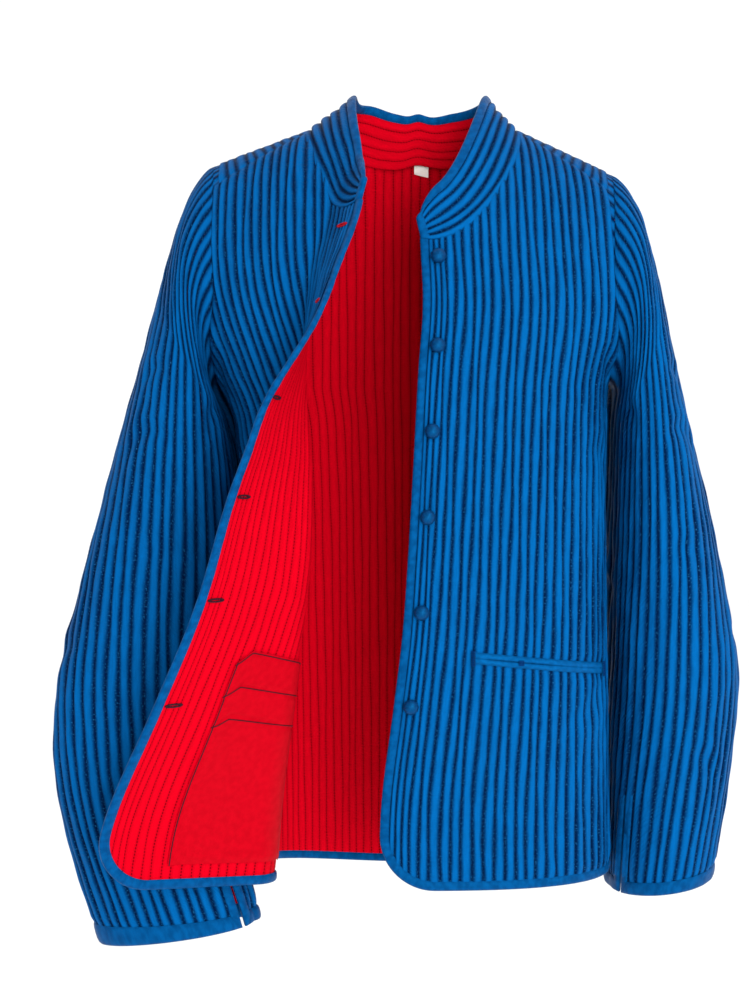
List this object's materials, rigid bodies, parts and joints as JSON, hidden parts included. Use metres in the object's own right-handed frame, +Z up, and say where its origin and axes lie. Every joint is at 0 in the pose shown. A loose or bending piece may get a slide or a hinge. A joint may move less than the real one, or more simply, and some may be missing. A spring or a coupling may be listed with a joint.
{
  "type": "quilted stand-collar jacket",
  "caption": "Channel-quilted hip-length jacket with a stand collar, bound edges, long sleeves with cuff vents, welt pockets and a contrast lining, hanging open as if worn.",
  "frame": {"origin": "between the two points where the neck meets the shoulder seams, where the wearer holds the jacket up", "axes": "+Z up, +X to the wearer's left, -Y to the front"},
  "size_m": [0.6249, 0.2922, 0.7609],
  "materials": {
    "blue_satin": "blue satin, quilted in narrow padded channels",
    "blue_binding": "blue satin bias binding and covered buttons",
    "red_lining": "red lining, quilted with the outside",
    "pocket_cloth": "plain red pocket cloth",
    "label_cloth": "blank off-white label"
  },
  "bodies": {
    "root": {"back": "blue_satin", "back_lining": "red_lining", "back_hem_binding": "blue_binding", "front_left": "blue_satin", "front_left_lining": "red_lining", "front_left_binding": "blue_binding", "sleeve_left": "blue_satin", "cuff_binding_left": "blue_binding", "welt_upper_left": "blue_satin", "welt_lower_left": "blue_satin", "pocket_bag_left": "pocket_cloth", "front_right": "blue_satin", "front_right_lining": "red_lining", "front_right_binding": "blue_binding", "sleeve_right": "blue_satin", "cuff_binding_right": "blue_binding", "welt_upper_right": "blue_satin", "welt_lower_right": "blue_satin", "pocket_bag_right": "pocket_cloth", "collar": "blue_satin", "collar_lining": "red_lining", "collar_binding": "blue_binding", "button_1": "blue_binding", "button_2": "blue_binding", "button_3": "blue_binding", "button_4": "blue_binding", "button_5": "blue_binding", "button_6": "blue_binding", "label": "label_cloth"}
  },
  "joints": []
}
